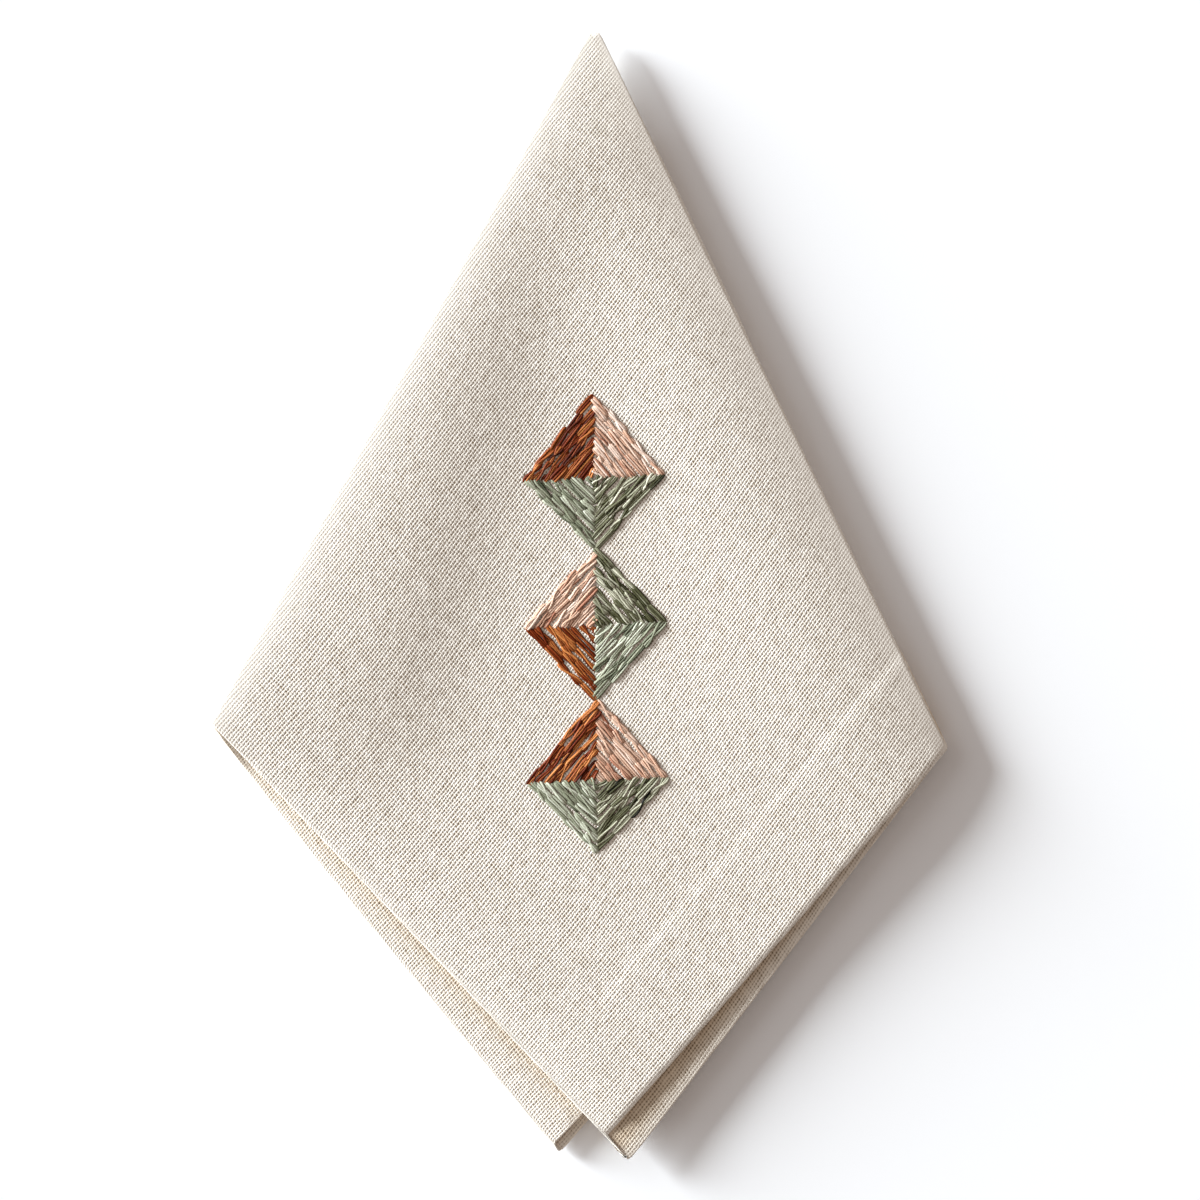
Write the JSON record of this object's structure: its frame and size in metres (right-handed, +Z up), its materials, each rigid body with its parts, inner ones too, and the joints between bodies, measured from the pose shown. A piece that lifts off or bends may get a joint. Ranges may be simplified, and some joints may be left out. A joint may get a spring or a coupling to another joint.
{
  "type": "linen napkin",
  "caption": "Hemmed linen table napkin folded into a flat kite, with a column of quartered diamonds embroidered in stranded floss.",
  "frame": {"origin": "middle of the folded napkin's footprint, on the surface it lies on", "axes": "+Z up out of the table, +Y from the lower tip to the top corner of the kite, +X to the right seen from above"},
  "size_m": [0.2201, 0.3362, 0.01],
  "materials": {
    "linen": "washed plain-weave linen, slubbed, pressed",
    "floss_rust": "stranded cotton floss, soft sheen",
    "floss_blush": "stranded cotton floss, soft sheen",
    "floss_olive": "stranded cotton floss, soft sheen",
    "floss_sage": "stranded cotton floss, soft sheen"
  },
  "bodies": {
    "root": {"folded_cloth": "linen", "floss_upper_rust": "floss_rust", "floss_upper_blush": "floss_blush", "floss_upper_olive": "floss_olive", "floss_upper_sage": "floss_sage", "floss_middle_blush": "floss_blush", "floss_middle_olive": "floss_olive", "floss_middle_sage": "floss_sage", "floss_middle_rust": "floss_rust", "floss_lower_rust": "floss_rust", "floss_lower_blush": "floss_blush", "floss_lower_olive": "floss_olive", "floss_lower_sage": "floss_sage"}
  },
  "joints": []
}
